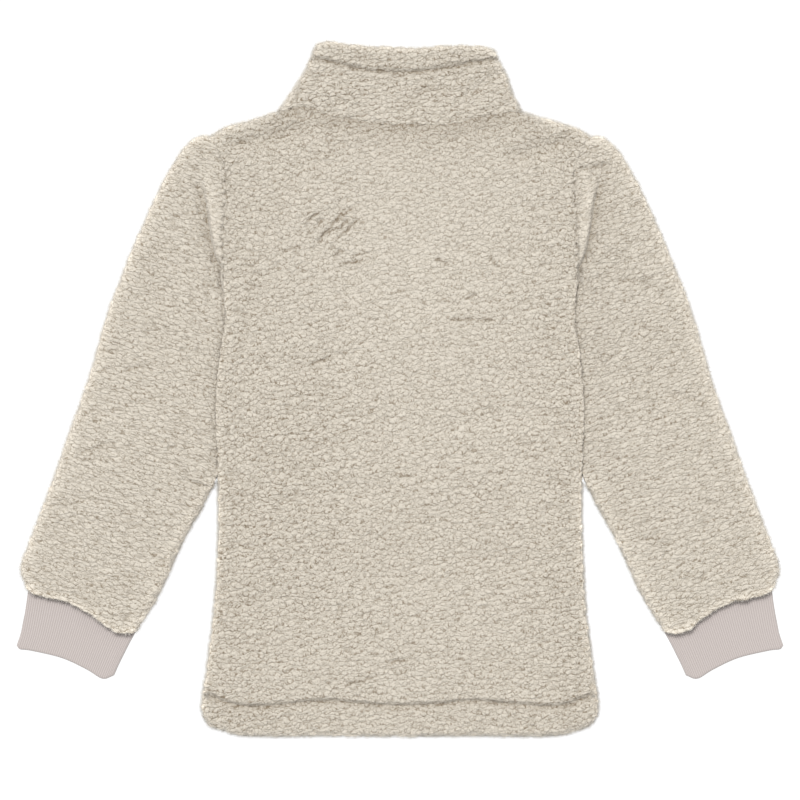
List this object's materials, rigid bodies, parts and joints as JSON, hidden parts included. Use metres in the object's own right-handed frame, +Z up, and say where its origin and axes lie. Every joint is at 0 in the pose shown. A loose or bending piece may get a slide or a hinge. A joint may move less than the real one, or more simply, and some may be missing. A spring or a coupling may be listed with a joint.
{
  "type": "sherpa zip fleece jacket laid flat",
  "caption": "Laid-flat sherpa fleece jacket, back up: stand collar, long set-in sleeves, ribbed knit cuffs, turned hem and a full-length front zip on the underside.",
  "frame": {"origin": "centre of the laid-out jacket's footprint, on the surface that it lies on", "axes": "+X towards the wearer's right sleeve, +Y towards the collar, +Z up out of the jacket's back"},
  "size_m": [0.8298, 0.7528, 0.0169],
  "materials": {
    "sherpa_fleece": "curly warm beige sherpa pile",
    "rib_knit": "fine rib knit, pinkish beige",
    "zip_tape": "woven polyester tape and coil, beige",
    "zip_metal": "satin beige enamel"
  },
  "bodies": {
    "jacket": {"back": "sherpa_fleece", "front_left": "sherpa_fleece", "front_right": "sherpa_fleece", "sleeve_left": "sherpa_fleece", "sleeve_right": "sherpa_fleece", "cuff_left": "rib_knit", "cuff_right": "rib_knit", "collar": "sherpa_fleece", "zip_left": "zip_tape", "zip_right": "zip_tape", "slider": "zip_metal"},
    "pull_tab": {"pull_tab": "zip_metal"}
  },
  "joints": [
    {"name": "pull_tab_hinge", "type": "hinge", "parent": "jacket", "child": "pull_tab", "pos_m": [0, 0.2915, 0.00195], "axis": [1, 0, 0], "range_deg": [0, 170]}
  ]
}
